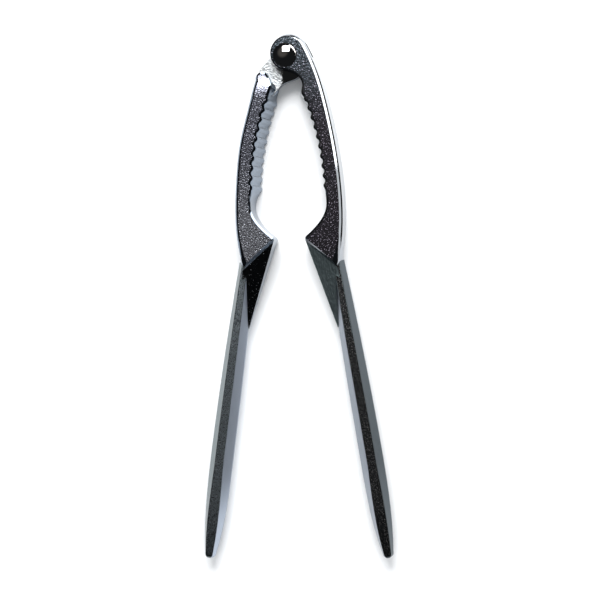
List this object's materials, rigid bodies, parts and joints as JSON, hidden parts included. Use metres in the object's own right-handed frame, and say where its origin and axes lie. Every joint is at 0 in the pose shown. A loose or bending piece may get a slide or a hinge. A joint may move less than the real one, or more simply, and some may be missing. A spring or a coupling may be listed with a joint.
{
  "type": "nutcracker",
  "caption": "Hand nutcracker with two levers hinged on a domed rivet: toothed jaws, a smooth seat for large nuts, and slim faceted handles.",
  "frame": {"origin": "on the pivot axis, at the flat end of the rivet in the back plane that the nutcracker lies on", "axes": "+Z along the pivot axis towards the rivet's domed head and the front faces; the handles point along -Y; +X towards the fork lever's side"},
  "size_m": [0.0656, 0.1789, 0.0103],
  "materials": {
    "plated_zinc": "chrome-plated zinc die casting, pebbled faces and smooth edges",
    "rivet_steel": "nickel-chrome plated steel, mirror polished"
  },
  "bodies": {
    "fork_body": {"fork_lever": "plated_zinc", "pivot_rivet": "rivet_steel"},
    "tongue_body": {"tongue_lever": "plated_zinc"}
  },
  "joints": [
    {"name": "pivot", "type": "hinge", "parent": "fork_body", "child": "tongue_body", "pos_m": [0, 0, 0], "axis": [0, 0, 1], "range_deg": [-160, 9]}
  ]
}
